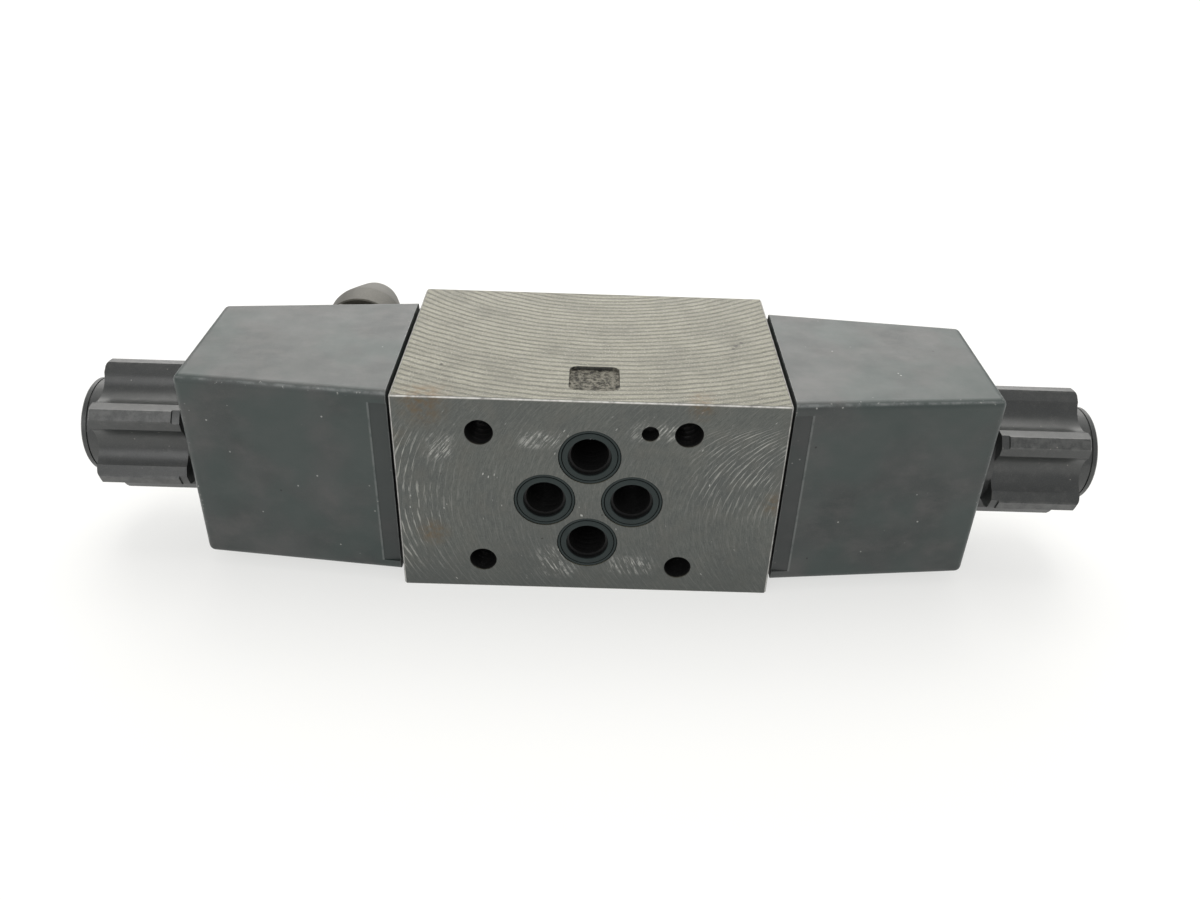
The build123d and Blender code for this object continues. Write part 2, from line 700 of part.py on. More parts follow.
def wiring_box():
    leg_length = BOX_HALF_LENGTH - BOX_LEG_START
    inner_half_height = BOX_HALF_HEIGHT - BOX_WALL
    neck_gap = 0.3
    with BuildPart() as box:
        with BuildSketch(depth_plane(BODY_DEPTH)):
            Rectangle(2 * BOX_HALF_LENGTH, 2 * BOX_HALF_HEIGHT)
        extrude(amount=BODY_DEPTH - BOX_TOP)
        for side in (-1, 1):
            with BuildSketch(depth_plane(BOX_LEG_BOTTOM)):
                with Locations((side * (BOX_LEG_START + leg_length / 2), 0)):
                    Rectangle(leg_length, 2 * BOX_HALF_HEIGHT)
            extrude(amount=BOX_LEG_BOTTOM - BODY_DEPTH)
        fillet(box.edges().filter_by(Axis.Y), BOX_EDGE)

        # The hollow: a trough under the cover, a closed room under the gland, and the legs.
        with BuildSketch(depth_plane(BODY_DEPTH + BOX_WALL)):
            Rectangle(2 * (BOX_HALF_LENGTH - BOX_WALL), 2 * inner_half_height)
        extrude(amount=BODY_DEPTH + 2 * BOX_WALL - BOX_TOP, mode=Mode.SUBTRACT)
        trough_length = BOX_HALF_LENGTH - BOX_WALL - BOX_LID_START
        with BuildSketch(depth_plane(BOX_TOP)):
            with Locations((BOX_LID_START + BOX_WALL + (trough_length - BOX_WALL) / 2, 0)):
                Rectangle(trough_length - BOX_WALL, 2 * inner_half_height)
        extrude(amount=BOX_WALL, mode=Mode.SUBTRACT)
        for side in (-1, 1):
            with BuildSketch(depth_plane(BOX_LEG_BOTTOM + BOX_WALL)):
                with Locations((side * (BOX_LEG_START + leg_length / 2), 0)):
                    Rectangle(leg_length - 2 * BOX_WALL, 2 * inner_half_height)
            extrude(amount=BOX_LEG_BOTTOM - BODY_DEPTH, mode=Mode.SUBTRACT)

        # Posts for the cover screws.
        with BuildSketch(depth_plane(BODY_DEPTH)):
            with Locations(*COVER_SCREW_PLACES):
                Circle(COVER_POST_RADIUS)
        extrude(amount=BODY_DEPTH - BOX_TOP)
        with BuildSketch(depth_plane(BOX_TOP)):
            with Locations(*COVER_SCREW_PLACES):
                Circle(COVER_SCREW_RADIUS)
        extrude(amount=COVER_SCREW_LENGTH, mode=Mode.SUBTRACT)

        # Openings for the coil necks, the gland and the screws into the body.
        with BuildSketch(depth_plane(BOX_LEG_BOTTOM)):
            with Locations((-COIL_NECK_X, AXIS_Z), (COIL_NECK_X, AXIS_Z)):
                Rectangle(COIL_NECK_LENGTH + neck_gap, COIL_NECK_HEIGHT + neck_gap)
        extrude(amount=-BOX_WALL, mode=Mode.SUBTRACT)
        with BuildSketch(depth_plane(BOX_TOP)):
            with Locations((GLAND_X, AXIS_Z)):
                Circle(GLAND_HOLE_RADIUS)
        extrude(amount=BOX_WALL, mode=Mode.SUBTRACT)
        with BuildSketch(depth_plane(BODY_DEPTH)):
            with Locations((-BOX_SCREW_X, 0), (BOX_SCREW_X, 0)):
                Circle(BOX_SCREW_RADIUS + FIT_GAP)
        extrude(amount=-BOX_WALL, mode=Mode.SUBTRACT)
    return box


def cover_gasket():
    with BuildPart() as gasket:
        with BuildSketch(depth_plane(BOX_TOP)):
            lid_outline(COVER_HALF_HEIGHT)
            offset(amount=-BOX_WALL, mode=Mode.SUBTRACT)
            with Locations(*COVER_SCREW_PLACES):
                Circle(COVER_POST_RADIUS)
            with Locations(*COVER_SCREW_PLACES):
                Circle(COVER_SCREW_RADIUS, mode=Mode.SUBTRACT)
        extrude(amount=-GASKET_THICKNESS)
    return gasket


def box_cover():
    with BuildPart() as cover:
        with BuildSketch(depth_plane(BOX_TOP + GASKET_THICKNESS)):
            lid_outline(COVER_HALF_HEIGHT)
        extrude(amount=-COVER_THICKNESS)
        fillet(cover.edges().filter_by(Axis.Y), BOX_EDGE)
        chamfer(cover.faces().sort_by(Axis.Y)[-1].edges(), BODY_EDGE)
        with BuildSketch(depth_plane(COVER_BACK)):
            with Locations(*COVER_SCREW_PLACES):
                Circle(COVER_SCREW_RADIUS)
        extrude(amount=COVER_THICKNESS, mode=Mode.SUBTRACT)
    return cover


def screws(places, seat, shank_radius, shank_length, head_radius, head_height):
    """Slotted pan-head screws driven towards -Y, with their heads seated at depth seat."""
    slot_width = head_radius * SCREW_SLOT_RATIO
    with BuildPart() as group:
        with BuildSketch(depth_plane(seat)):
            with Locations(*places):
                Circle(head_radius)
        extrude(amount=-head_height)
        with BuildSketch(depth_plane(seat)):
            with Locations(*places):
                Circle(shank_radius)
        extrude(amount=shank_length)
        with BuildSketch(depth_plane(seat + head_height)):
            with Locations(*places):
                Rectangle(2 * head_radius, slot_width)
        extrude(amount=head_height / 2, mode=Mode.SUBTRACT)
    return group


def name_plate():
    """A blank plate on the cover."""
    with BuildPart() as plate:
        with BuildSketch(depth_plane(COVER_BACK)):
            with Locations(((COVER_SCREW_X[0] + COVER_SCREW_X[1]) / 2, 0)):
                RectangleRounded(PLATE_LENGTH, PLATE_HEIGHT, BOX_EDGE)
        extrude(amount=-PLATE_THICKNESS)
    return plate


TERMINAL_FLOOR = BODY_DEPTH + BOX_WALL
TERMINAL_PLACES = [
    ((number - (TERMINAL_POLES - 1) / 2) * TERMINAL_PITCH, 0) for number in range(TERMINAL_POLES)
]


def terminal_block():
    """An insulating strip with a walled bay for each clamp screw."""
    bay = TERMINAL_PITCH - TERMINAL_WALL
    with BuildPart() as block:
        with BuildSketch(depth_plane(TERMINAL_FLOOR)):
            Rectangle(TERMINAL_LENGTH, TERMINAL_HEIGHT)
        extrude(amount=-TERMINAL_DEPTH)
        with BuildSketch(depth_plane(TERMINAL_FLOOR + TERMINAL_DEPTH)):
            with Locations(*TERMINAL_PLACES):
                Rectangle(bay, TERMINAL_HEIGHT)
        extrude(amount=TERMINAL_DEPTH / 2, mode=Mode.SUBTRACT)
        with BuildSketch(depth_plane(TERMINAL_FLOOR + TERMINAL_DEPTH)):
            with Locations(*TERMINAL_PLACES):
                Circle(TERMINAL_SCREW_RADIUS)
        extrude(amount=TERMINAL_DEPTH - TERMINAL_WEB, mode=Mode.SUBTRACT)
    return block


# ---- Cable gland ----

GLAND_AXIS = Axis((GLAND_X, 0, AXIS_Z), (0, 1, 0))
GLAND_PLANE = Plane(origin=(GLAND_X, 0, AXIS_Z), x_dir=(1, 0, 0), z_dir=(0, 0, 1))
GLAND_HEX_BACK = BOX_TOP + GLAND_HEX_HEIGHT


def gland_body():
    """Threaded shank, hexagon and the spigot that takes the dome nut."""
    with BuildPart() as body:
        with BuildSketch(GLAND_PLANE):
            with BuildLine():
                Polyline(
                    (GLAND_BORE_RADIUS, BOX_TOP - BOX_WALL),
                    (GLAND_SPIGOT_RADIUS, BOX_TOP - BOX_WALL),
                    (GLAND_SPIGOT_RADIUS, GLAND_SPIGOT_END),
                    (GLAND_SEAL_RADIUS, GLAND_SPIGOT_END),
                    (GLAND_SEAL_RADIUS, GLAND_SEAL_BOTTOM),
                    (GLAND_BORE_RADIUS, GLAND_SEAL_BOTTOM),
                    close=True,
                )
            make_face()
        revolve(axis=GLAND_AXIS)
        with BuildSketch(depth_plane(BOX_TOP)):
            with Locations((GLAND_X, AXIS_Z)):
                RegularPolygon(GLAND_FLATS / 2, HEXAGON_SIDES, major_radius=False)
                Circle(GLAND_BORE_RADIUS, mode=Mode.SUBTRACT)
        extrude(amount=-GLAND_HEX_HEIGHT)
    return body


def gland_nut():
    """The dome nut: a grip that narrows to a rounded mouth round the cable's place."""
    start = GLAND_HEX_BACK + GLAND_NUT_GAP
    mouth_radius, top = GLAND_NUT_MOUTH
    with BuildPart() as nut:
        with BuildSketch(GLAND_PLANE):
            with BuildLine():
                Polyline(
                    (GLAND_SPIGOT_RADIUS, start),
                    (GLAND_NUT_BASE_RADIUS, start),
                    (GLAND_NUT_BASE_RADIUS, GLAND_NUT_GRIP_END),
                    GLAND_NUT_SHOULDER,
                )
                ThreePointArc(GLAND_NUT_SHOULDER, GLAND_NUT_CROWN, GLAND_NUT_MOUTH)
                Polyline(
                    (mouth_radius, top),
                    (GLAND_BORE_RADIUS, top),
                    (GLAND_BORE_RADIUS, GLAND_SEAL_TOP),
                    (GLAND_SPIGOT_RADIUS, GLAND_SEAL_TOP),
                    (GLAND_SPIGOT_RADIUS, start),
                )
            make_face()
        revolve(axis=GLAND_AXIS)
        # Small grip flats round the base.
        with BuildSketch(depth_plane(start)):
            with Locations((GLAND_X, AXIS_Z)):
                Circle(GLAND_NUT_BASE_RADIUS + 1)
                RegularPolygon(
                    GLAND_NUT_BASE_RADIUS - GLAND_NUT_GRIP_INSET,
                    GLAND_NUT_GRIPS,
                    major_radius=False,
                    mode=Mode.SUBTRACT,
                )
        extrude(amount=-GLAND_NUT_GRIP_LENGTH, mode=Mode.SUBTRACT)
    return nut


def gland_seal():
    with BuildPart() as seal:
        with BuildSketch(depth_plane(GLAND_SEAL_BOTTOM)):
            with Locations((GLAND_X, AXIS_Z)):
                Circle(GLAND_SEAL_RADIUS)
                Circle(GLAND_BORE_RADIUS, mode=Mode.SUBTRACT)
        extrude(amount=GLAND_SEAL_BOTTOM - GLAND_SEAL_TOP)
    return seal


# ---- Build every piece and write it ----

os.makedirs("parts", exist_ok=True)

save(valve_body(), "valve_body")
for port, centre in PORTS.items():
    save(port_seal(centre), f"port_seal_{port}")
save(spool(), "spool")

save_pair(bush(END_LAND[1], SEAT_WASHER_END, NOSE_RADIUS, SEAT_WASHER_RADIUS), "spring_seat")
save_pair(pole_piece(), "pole_piece")
save_pair(bush(POLE_FACE, POLE_RING_END, TUBE_BORE_RADIUS, TUBE_RADIUS), "pole_ring")
save_pair(bush(POLE_RING_END, GUIDE_TUBE_END, TUBE_BORE_RADIUS, TUBE_RADIUS), "guide_tube")
save_pair(end_plug(), "end_plug")
save_pair(armature(), "armature")
save_pair(bush(SHIM_FACE, ARMATURE_ENDS[0], PUSH_PIN_RADIUS, SHIM_RADIUS), "armature_shim")
save_pair(bush(NOSE_END, PUSH_PIN_SEAT, 0, PUSH_PIN_RADIUS), "push_pin")
save_pair(seal_ring(sum(TUBE_SEAL_GROOVE) / 2, *TUBE_SEAL_RING), "tube_seal")
save_pair(override_pin(), "override_pin")
save_pair(seal_ring(sum(OVERRIDE_SEAL_GROOVE) / 2, *OVERRIDE_SEAL_RING), "override_seal")

save_pair(coil_housing(), "coil_housing")
save_pair(coil_bobbin(), "coil_bobbin")
winding_start = BOBBIN_ENDS[0] + BOBBIN_FLANGE
winding_end = BOBBIN_ENDS[1] - BOBBIN_FLANGE
save_pair(bush(winding_start, winding_end, BOBBIN_SLEEVE_RADIUS, WINDING_RADIUS), "coil_winding")
save_pair(coil_yoke(), "coil_yoke")
save_pair(seal_ring(COIL_INNER + COIL_SEAL_INSET, *COIL_SEAL_RING), "coil_seal_inner")
save_pair(seal_ring(COIL_OUTER - COIL_SEAL_INSET, *COIL_SEAL_RING), "coil_seal_outer")

for side, direction in (("a", -1), ("b", 1)):
    centring = coil_spring(
        direction,
        SEAT_WASHER_END,
        SPRING_POCKET_BOTTOM,
        CENTRING_COIL_RADIUS,
        CENTRING_WIRE,
        CENTRING_TURNS,
    )
    save(centring, f"centring_spring_{side}")
    returning = coil_spring(
        direction,
        OVERRIDE_SPRING_POCKET,
        OVERRIDE_HEAD[0],
        OVERRIDE_COIL_RADIUS,
        OVERRIDE_WIRE,
        OVERRIDE_TURNS,
    )
    save(returning, f"override_spring_{side}")
    save(lock_nut(direction, NUT_START[side]), f"lock_nut_{side}")
    save(nut_cap(direction, NUT_START[side]), f"nut_cap_{side}")

save(wiring_box(), "wiring_box")
save(cover_gasket(), "cover_gasket")
save(box_cover(), "box_cover")
save(
    screws(
        COVER_SCREW_PLACES,
        COVER_BACK,
        COVER_SCREW_RADIUS,
        COVER_THICKNESS + GASKET_THICKNESS + COVER_SCREW_LENGTH - COVER_SCREW_CLEARANCE,
        COVER_SCREW_HEAD_RADIUS,
        COVER_SCREW_HEAD_HEIGHT,
    ),
    "cover_screws",
)
save(
    screws(
        [(-BOX_SCREW_X, 0), (BOX_SCREW_X, 0)],
        BODY_DEPTH + BOX_WALL,
        BOX_SCREW_RADIUS,
        BOX_SCREW_DEPTH,
        BOX_SCREW_HEAD_RADIUS,
        BOX_SCREW_HEAD_HEIGHT,
    ),
    "box_screws",
)
save(name_plate(), "name_plate")
save(terminal_block(), "terminal_block")
save(
    screws(
        TERMINAL_PLACES,
        TERMINAL_FLOOR + TERMINAL_DEPTH / 2,
        TERMINAL_SCREW_RADIUS,
        TERMINAL_DEPTH / 2 - TERMINAL_WEB,
        TERMINAL_SCREW_RADIUS + TERMINAL_SCREW_OVERHANG,
        TERMINAL_SCREW_HEIGHT,
    ),
    "terminal_screws",
)
save(gland_body(), "gland_body")
save(gland_nut(), "gland_nut")
save(gland_seal(), "gland_seal")
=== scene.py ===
"""Looks of the solenoid directional valve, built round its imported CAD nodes.

Everything is in metres in the CAD frame: X along the spool, Z up, mounting face at Y = 0
facing -Y.  Material patterns are written in millimetres of the piece's own coordinates.
"""
import math

import bpy
from mathutils import Matrix, Vector


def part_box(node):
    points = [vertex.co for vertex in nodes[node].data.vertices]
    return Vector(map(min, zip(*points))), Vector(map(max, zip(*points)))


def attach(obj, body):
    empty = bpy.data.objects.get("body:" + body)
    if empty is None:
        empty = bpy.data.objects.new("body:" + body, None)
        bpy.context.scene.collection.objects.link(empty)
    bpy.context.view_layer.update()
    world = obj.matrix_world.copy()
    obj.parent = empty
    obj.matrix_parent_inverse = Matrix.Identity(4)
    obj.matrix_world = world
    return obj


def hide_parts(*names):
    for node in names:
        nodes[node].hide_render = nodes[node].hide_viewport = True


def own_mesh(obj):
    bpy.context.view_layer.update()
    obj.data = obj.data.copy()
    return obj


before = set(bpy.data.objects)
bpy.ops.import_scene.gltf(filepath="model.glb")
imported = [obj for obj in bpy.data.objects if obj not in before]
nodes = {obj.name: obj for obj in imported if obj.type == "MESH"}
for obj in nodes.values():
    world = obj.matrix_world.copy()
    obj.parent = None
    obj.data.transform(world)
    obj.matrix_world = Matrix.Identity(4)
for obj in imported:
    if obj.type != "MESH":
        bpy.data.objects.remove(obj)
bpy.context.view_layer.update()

MM = 0.001
BODY_LOW, BODY_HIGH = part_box("valve_body")
COIL_LOW, COIL_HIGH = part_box("coil_housing_b")
SIDES = ("a", "b")

# The spool's axis, from the tube that stands round it.
TUBE_LOW, TUBE_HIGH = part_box("guide_tube_b")
AXIS_Y = (TUBE_LOW.y + TUBE_HIGH.y) / 2
AXIS_Z = (TUBE_LOW.z + TUBE_HIGH.z) / 2


# ---------------------------------------------------------------- node graphs

class Graph:
    """A material's node tree, with one short method for each kind of node that is used."""

    def __init__(self, name):
        self.material = bpy.data.materials.new(name)
        self.material.use_nodes = True
        self.tree = self.material.node_tree
        self.shader = self.tree.nodes["Principled BSDF"]
        coords = self.tree.nodes.new("ShaderNodeTexCoord")
        self.place = self.scaled(coords.outputs["Object"], 1 / MM)
        self.normal = coords.outputs["Normal"]
        self.x, self.y, self.z = self.split(self.place)

    def node(self, kind, inputs, **settings):
        made = self.tree.nodes.new(kind)
        for key, value in settings.items():
            setattr(made, key, value)
        for key, value in inputs.items():
            self.feed(made.inputs[key], value)
        return made

    def feed(self, socket, value):
        if isinstance(value, bpy.types.NodeSocket):
            self.tree.links.new(value, socket)
        elif socket.type == "RGBA" and len(value) == 3:
            socket.default_value = (*value, 1)
        else:
            socket.default_value = value

    def scaled(self, vector, factor):
        made = self.node("ShaderNodeVectorMath", {0: vector, "Scale": factor}, operation="SCALE")
        return made.outputs[0]

    def split(self, vector):
        return self.node("ShaderNodeSeparateXYZ", {0: vector}).outputs[:3]

    def joined(self, x, y, z):
        return self.node("ShaderNodeCombineXYZ", {0: x, 1: y, 2: z}).outputs[0]

    def math(self, operation, first, second=0.0, third=0.0):
        values = {0: first, 1: second, 2: third}
        return self.node("ShaderNodeMath", values, operation=operation).outputs[0]

    def add(self, first, second):
        return self.math("ADD", first, second)

    def minus(self, first, second):
        return self.math("SUBTRACT", first, second)

    def times(self, first, second):
        return self.math("MULTIPLY", first, second)

    def away(self, value, centre=0.0):
        """Distance of a value from a centre."""
        return self.math("ABSOLUTE", self.minus(value, centre))

    def steps(self, value, low, high, out_low=0.0, out_high=1.0):
        """A smooth ramp from out_low at low to out_high at high."""
        made = self.node(
            "ShaderNodeMapRange",
            {0: value, 1: low, 2: high, 3: out_low, 4: out_high},
            interpolation_type="SMOOTHSTEP",
        )
        return made.outputs[0]

    def fade(self, value, low, high):
        """A smooth ramp from 1 at low to 0 at high."""
        return self.steps(value, low, high, 1.0, 0.0)

    def within(self, value, centre, half, soft):
        """1 within half of a centre and 0 beyond it, with a border soft each way."""
        return self.fade(self.away(value, centre), half - soft, half + soft)

    def length(self, across, along):
        """Length of a flat step from its two parts."""
        return self.math("SQRT", self.add(self.times(across, across), self.times(along, along)))

    def noise(self, size, detail=3.0, roughness=0.55, vector=None, distortion=0.0):
        """Noise from 0 to 1 whose largest features are about size millimetres."""
        source = self.place if vector is None else vector
        inputs = {
            "Vector": source,
            "Scale": 1 / size,
            "Detail": detail,
            "Roughness": roughness,
            "Distortion": distortion,
        }
        return self.node("ShaderNodeTexNoise", inputs).outputs[0]

    def cells(self, size, vector=None):
        """Distance to the nearest of scattered points, size millimetres apart."""
        source = self.place if vector is None else vector
        return self.node("ShaderNodeTexVoronoi", {"Vector": source, "Scale": 1 / size}).outputs[0]

    def mix(self, factor, first, second, blend="MIX"):
        inputs = {0: factor, 6: first, 7: second}
        made = self.node("ShaderNodeMix", inputs, data_type="RGBA", blend_type=blend)
        return made.outputs[2]

    def bump(self, height, depth, strength=1.0, under=None):
        """Height from 0 to 1 as a bump depth millimetres deep."""
        inputs = {"Height": height, "Distance": depth * MM, "Strength": strength}
        if under is not None:
            inputs["Normal"] = under
        return self.node("ShaderNodeBump", inputs).outputs[0]

    def finish(self, colour, roughness, normal=None, metallic=0.0, specular=0.5):
        self.feed(self.shader.inputs["Base Color"], colour)
        self.feed(self.shader.inputs["Roughness"], roughness)
        self.shader.inputs["Metallic"].default_value = metallic
        self.shader.inputs["Specular IOR Level"].default_value = specular
        if normal is not None:
            self.feed(self.shader.inputs["Normal"], normal)
        return self.material


def second_smallest(graph, first, second, third):
    """The middle one of three distances to faces, which is the distance to the nearest edge."""
    low = graph.math("MINIMUM", first, second)
    high = graph.math("MAXIMUM", first, second)
    return graph.math("MAXIMUM", low, graph.math("MINIMUM", high, third))


def specks(graph, size, share, vector=None):
    """Scattered small spots: 1 inside a spot and 0 outside."""
    return graph.fade(graph.cells(size, vector), share * 0.6, share)


# ---------------------------------------------------------------- sizes for the patterns

# The coil housings, in millimetres: half depth beside the block and how much it narrows for
# each millimetre away from it, half height, and the sunken strip with its lip at the block.
COIL_HALF_DEPTH = 20.7
COIL_TAPER = 0.1003
COIL_HALF_HEIGHT = 21.5
STRIP_WIDTH = 3.3
STRIP_HALF_HEIGHT = 19.0
STRIP_FRONT = (2.6, 3.4)
LIP_FROM_BLOCK = 3.6

# The hand nuts' ridges, between these distances from the spool's axis.
NUT_RIDGE = (14.1, 14.6)


# ---------------------------------------------------------------- marks on the block

# All in millimetres of the block's own frame.
# Slanted scuffs on the mounting face, as (X, Z, half width, half height, lean).
SCUFFS = (
    (-9.5, 14.2, 5.5, 2.6, -0.75),
    (12.5, 16.5, 6.5, 2.6, -0.75),
    (-6.0, -15.5, 5.5, 5.0, 0.55),
    (-29.0, 12.0, 3.5, 4.0, -0.8),
    (9.0, -16.0, 6.0, 3.0, 0.45),
)

# Rust stains on the mounting face and at its edges, as (X, Z, radius, strength).
STAINS = (
    (-32.0, 21.8, 7.0, 0.95),
    (-31.4, -8.6, 4.4, 1.0),
    (21.0, 22.0, 3.6, 0.9),
    (37.4, 0.5, 4.2, 0.8),
    (-37.2, 14.0, 3.0, 0.35),
)

# Small dark dents in the upper side, as (X, Y, radius).
DENTS = (
    (30.0, 25.0, 0.9),
    (31.2, 26.6, 0.6),
    (29.2, 23.6, 0.5),
    (20.7, 35.0, 0.5),
    (-30.0, 13.0, 0.5),
)

# Fly-cut rings on the sides: the X and Y of their centre, and the feed from ring to ring.
CUT_X = 2.0
CUT_Y = 90.0
CUT_FEED = 1.7

# Two families of tool arcs on the mounting face, as (radius, Z of the centre, feed).
LEFT_ARCS = (34.0, -1.0, 1.35)
RIGHT_ARCS = (26.0, -6.0, 1.2)

# Depths between which the marks of the mounting face fade out inside the ports.
FACE_FADE = (2.5, 6.0)

# The shallow cast pocket in the upper side: its centre, its half sizes, and the soft
# limits of its depth below that side.
POCKET_X = 0.45
POCKET_Y = 9.05
POCKET_HALF_X = 4.95
POCKET_HALF_Y = 4.87
POCKET_RIM = (23.02, 23.1)
POCKET_FLOOR = (21.6, 21.9)


# ---------------------------------------------------------------- materials

def arc_lines(graph, radius, centre, pitch):
    """Equal arcs repeated along X, bulging to -X: their feed distance and their thin strokes."""
    rise = graph.minus(graph.z, centre)
    inner = graph.math("MAXIMUM", graph.minus(radius ** 2, graph.times(rise, rise)), 1.0)
    feed = graph.add(graph.x, graph.math("SQRT", inner))
    wobble = graph.times(graph.noise(6.0, 2.0), 1.2)
    wave = graph.math("SINE", graph.times(graph.add(feed, wobble), 2 * math.pi / pitch))
    hairs = graph.noise(0.24, 3.0, 0.7, graph.joined(feed, graph.times(graph.z, 0.06), 7.0))
    lines = graph.steps(graph.add(graph.times(wave, 0.14), hairs), 0.58, 0.72)
    return feed, lines


def side_skin(g, grain):
    """Colour of the block's upper and lower sides, and the height of their tool rings."""
    across = g.minus(g.x, CUT_X)
    along = g.minus(g.y, CUT_Y)
    feed = g.length(across, along)
    turn = g.math("ARCTAN2", across, along)
    wobble = g.times(g.noise(9.0, 3.0), 1.3)
    wave = g.math("SINE", g.times(g.add(feed, wobble), 2 * math.pi / CUT_FEED))
    strength = g.steps(g.noise(11.0, 2.0), 0.30, 0.62, 0.55, 1.0)
    height = g.times(g.steps(wave, -1.0, 0.3), strength)
    fine = g.noise(0.70, 4.0, 0.7, g.joined(g.times(turn, 9.0), feed, 0.0))
    hairs = g.noise(0.28, 3.0, 0.7, g.joined(g.times(turn, 22.0), feed, 3.0))
    tone = g.add(g.times(height, 0.30), g.times(fine, 0.38))
    tone = g.add(tone, g.times(hairs, 0.32))
    glints = g.steps(g.noise(0.3, 2.0, 0.6), 0.56, 0.74, 0.0, 0.6)
    colour = g.mix(g.steps(tone, 0.22, 0.80), (0.046, 0.045, 0.034), (0.208, 0.203, 0.158))
    colour = g.mix(g.steps(grain, 0.42, 0.66, 0.0, 0.55), colour, (0.090, 0.086, 0.068))
    colour = g.mix(glints, colour, (0.330, 0.320, 0.270))
    return colour, height


def face_strokes(g, left_lines, right_lines):
    """Thin bright tool strokes on the mounting face, strongest at the left and upper right."""
    near_left = g.fade(g.away(g.z, LEFT_ARCS[1]), 13.0, 19.0)
    near_left = g.times(g.fade(g.x, -37.8, -24.0), near_left)
    left = g.times(left_lines, g.add(g.times(near_left, 0.8), 0.12))
    near_right = g.times(g.steps(g.x, 14.0, 30.0), g.steps(g.z, -9.0, 9.0))
    near_right = g.times(near_right, g.fade(g.z, 16.0, 19.0))
    right = g.times(right_lines, g.add(near_right, 0.05))
    broken = g.steps(g.noise(7.0, 3.0, 0.55), 0.32, 0.54)
    strokes = g.times(g.math("MAXIMUM", left, right), broken)
    return g.times(strokes, g.steps(g.y, *FACE_FADE, 1.0, 0.35))


def face_scuffs(g):
    """Slanted bright scuffs on the mounting face, each made of leaning hairs."""
    scuffed = 0.0
    for x, z, wide, tall, lean in SCUFFS:
        leaning = g.add(g.x, g.times(g.z, lean))
        hairs = g.noise(0.42, 3.0, 0.75, g.joined(leaning, g.times(g.z, 0.10), x))
        near = g.times(
            g.fade(g.away(g.x, x), wide * 0.4, wide),
            g.fade(g.away(g.z, z), tall * 0.3, tall),
        )
        scuffed = g.math("MAXIMUM", scuffed, g.times(g.steps(hairs, 0.47, 0.60), near))
    scuffed = g.times(scuffed, g.fade(g.y, *FACE_FADE))
    return g.times(scuffed, g.steps(g.noise(1.6, 4.0, 0.7), 0.34, 0.62))


def face_skin(g, grain):
    """Colour of the milled mounting face, and its fine lines."""
    left_feed, left_lines = arc_lines(g, *LEFT_ARCS)
    _, right_lines = arc_lines(g, *RIGHT_ARCS)
    fine = g.noise(0.22, 3.0, 0.7, g.joined(left_feed, g.times(g.z, 0.12), 0.0))
    clouds = g.steps(g.noise(16.0, 3.0), 0.35, 0.68, 0.0, 0.5)
    patches = g.steps(g.noise(4.5, 3.0), 0.4, 0.75, 0.0, 0.4)
    low_part = g.steps(g.z, -22.0, -8.0, 0.45, 0.0)
    strokes = g.times(face_strokes(g, left_lines, right_lines), 0.75)
    scuffs = g.times(face_scuffs(g), 0.75)
    ticks = specks(g, 1.3, 0.16, g.joined(g.times(left_feed, 1.5), g.times(g.z, 0.6), 0.0))
    ticks = g.times(ticks, g.steps(g.noise(7.5, 3.0, 0.6), 0.54, 0.68))
    colour = g.mix(g.steps(fine, 0.2, 0.8), (0.060, 0.067, 0.062), (0.125, 0.130, 0.118))
    colour = g.mix(clouds, colour, (0.066, 0.072, 0.070))
    colour = g.mix(patches, colour, (0.110, 0.108, 0.094))
    colour = g.mix(g.steps(grain, 0.5, 0.75, 0.0, 0.5), colour, (0.165, 0.166, 0.152))
    colour = g.mix(low_part, colour, (0.060, 0.066, 0.062))
    colour = g.mix(strokes, colour, (0.38, 0.38, 0.35))
    colour = g.mix(scuffs, colour, (0.46, 0.46, 0.43))
    colour = g.mix(g.times(ticks, 0.7), colour, (0.55, 0.55, 0.52))
    return colour, fine


def face_rust(g):
    """Where the mounting face is rusty, from 0 to about 1."""
    rust = 0.0
    for x, z, radius, strength in STAINS:
        distance = g.length(g.minus(g.x, x), g.minus(g.z, z))
        rust = g.add(rust, g.steps(distance, 0.0, radius, strength, 0.0))
    rust = g.times(rust, g.fade(g.y, *FACE_FADE))
    return g.times(rust, g.steps(g.noise(1.8, 5.0, 0.7), 0.33, 0.7))


def side_dents(g, on_top):
    """Small dark dents in the block's upper side."""
    dented = 0.0
    for x, y, radius in DENTS:
        distance = g.length(g.minus(g.x, x), g.minus(g.y, y))
        dented = g.math("MAXIMUM", dented, g.steps(distance, radius * 0.4, radius, 0.9, 0.0))
    dented = g.times(dented, on_top)
    return g.times(dented, g.steps(g.noise(0.7, 3.0, 0.7), 0.36, 0.52))


def pocket_zone(g):
    """1 on the floor and walls of the cast pocket, and 0 elsewhere."""
    zone = g.times(g.fade(g.z, *POCKET_RIM), g.steps(g.z, *POCKET_FLOOR))
    zone = g.times(zone, g.within(g.x, POCKET_X, POCKET_HALF_X, 0.05))
    return g.times(zone, g.within(g.y, POCKET_Y, POCKET_HALF_Y, 0.05))


def cast_skin(g, cast):
    """Colour of rough cast iron, with dark pores."""
    pores = g.steps(g.cells(1.9), 0.16, 0.30, 0.85, 0.0)
    colour = g.mix(g.steps(cast, 0.38, 0.62), (0.030, 0.028, 0.022), (0.215, 0.205, 0.168))
    return g.mix(pores, colour, (0.012, 0.012, 0.010))


